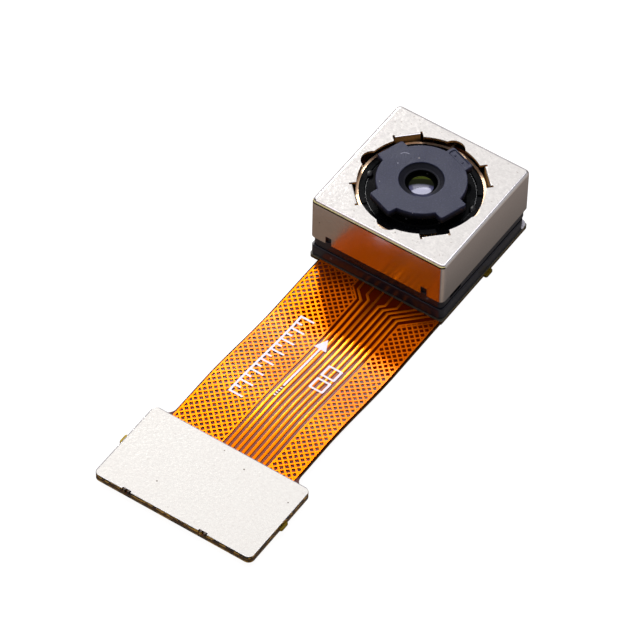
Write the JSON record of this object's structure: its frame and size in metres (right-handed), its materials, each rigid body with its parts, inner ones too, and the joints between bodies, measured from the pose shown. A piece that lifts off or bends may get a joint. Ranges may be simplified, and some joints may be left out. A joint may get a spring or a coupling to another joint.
{
  "type": "camera module",
  "caption": "Small autofocus camera module: a square lens head in a steel can, a flat amber flex tail and a board connector under a steel stiffener plate.",
  "frame": {"origin": "where the optical axis meets the underside of the head", "axes": "+Z along the optical axis, out of the lens; the flex tail runs along -Y to the connector; X lies across the tail"},
  "size_m": [0.0103, 0.0279, 0.005],
  "materials": {
    "can": "fine satin nickel silver",
    "black_plastic": "fine matte black liquid-crystal polymer",
    "holder_plastic": "matte black",
    "spring_bronze": "rolled copper alloy",
    "magnet": "nickel plated",
    "winding": "enamelled copper wire",
    "barrel": "satin slate polycarbonate",
    "black_glue": "glossy black epoxy",
    "lens": "coated optical plastic",
    "baffle": "flat black film",
    "terminal": "plated phosphor bronze",
    "solder": "bright tin",
    "filter": "coated blue glass",
    "sensor": "polished silicon",
    "gold": "gold plated",
    "chip": "grey silicon package",
    "capacitor": "tan ceramic",
    "board": "dark green solder mask",
    "film": "amber polyimide film",
    "copper": "copper under a clear amber coat",
    "print": "white screen print",
    "steel": "fine satin stainless steel"
  },
  "bodies": {
    "head_and_tail": {"shield_can": "can", "spacer_frame": "black_plastic", "upper_leaf_spring": "spring_bronze", "magnet_1": "magnet", "magnet_2": "magnet", "magnet_3": "magnet", "magnet_4": "magnet", "lower_leaf_spring_left": "spring_bronze", "lower_leaf_spring_right": "spring_bronze", "coil_terminal_left": "terminal", "coil_terminal_right": "terminal", "solder_joint_left": "solder", "solder_joint_right": "solder", "actuator_base": "black_plastic", "infrared_filter": "filter", "sensor_holder": "holder_plastic", "image_sensor": "sensor", "bond_wires": "gold", "focus_driver_chip": "chip", "memory_chip": "chip", "capacitor_1": "capacitor", "capacitor_2": "capacitor", "capacitor_3": "capacitor", "capacitor_4": "capacitor", "sensor_board": "board", "flex_circuit": "film", "ground_mesh_left": "copper", "ground_mesh_right": "copper", "signal_traces": "copper", "printed_marks": "print", "connector_stiffener": "steel", "connector_housing": "black_plastic", "connector_contacts": "gold", "solder_nail_left": "terminal", "solder_nail_right": "terminal"},
    "lens_group": {"voice_coil": "winding", "lens_carrier": "black_plastic", "lens_barrel": "barrel", "lens_lock_glue": "black_glue", "lens_element_1": "lens", "lens_element_2": "lens", "lens_element_3": "lens", "lens_element_4": "lens", "lens_element_5": "lens", "light_baffle_1": "baffle", "light_baffle_2": "baffle", "light_baffle_3": "baffle", "light_baffle_4": "baffle", "lens_retaining_ring": "black_plastic"}
  },
  "joints": [
    {"name": "focus", "type": "slide", "parent": "head_and_tail", "child": "lens_group", "axis": [0, 0, 1], "range_m": [0, 0.00025], "stiffness_N_per_m": 38, "springref_m": -0.0001, "deforming": ["upper_leaf_spring", "lower_leaf_spring_left", "lower_leaf_spring_right"]}
  ]
}
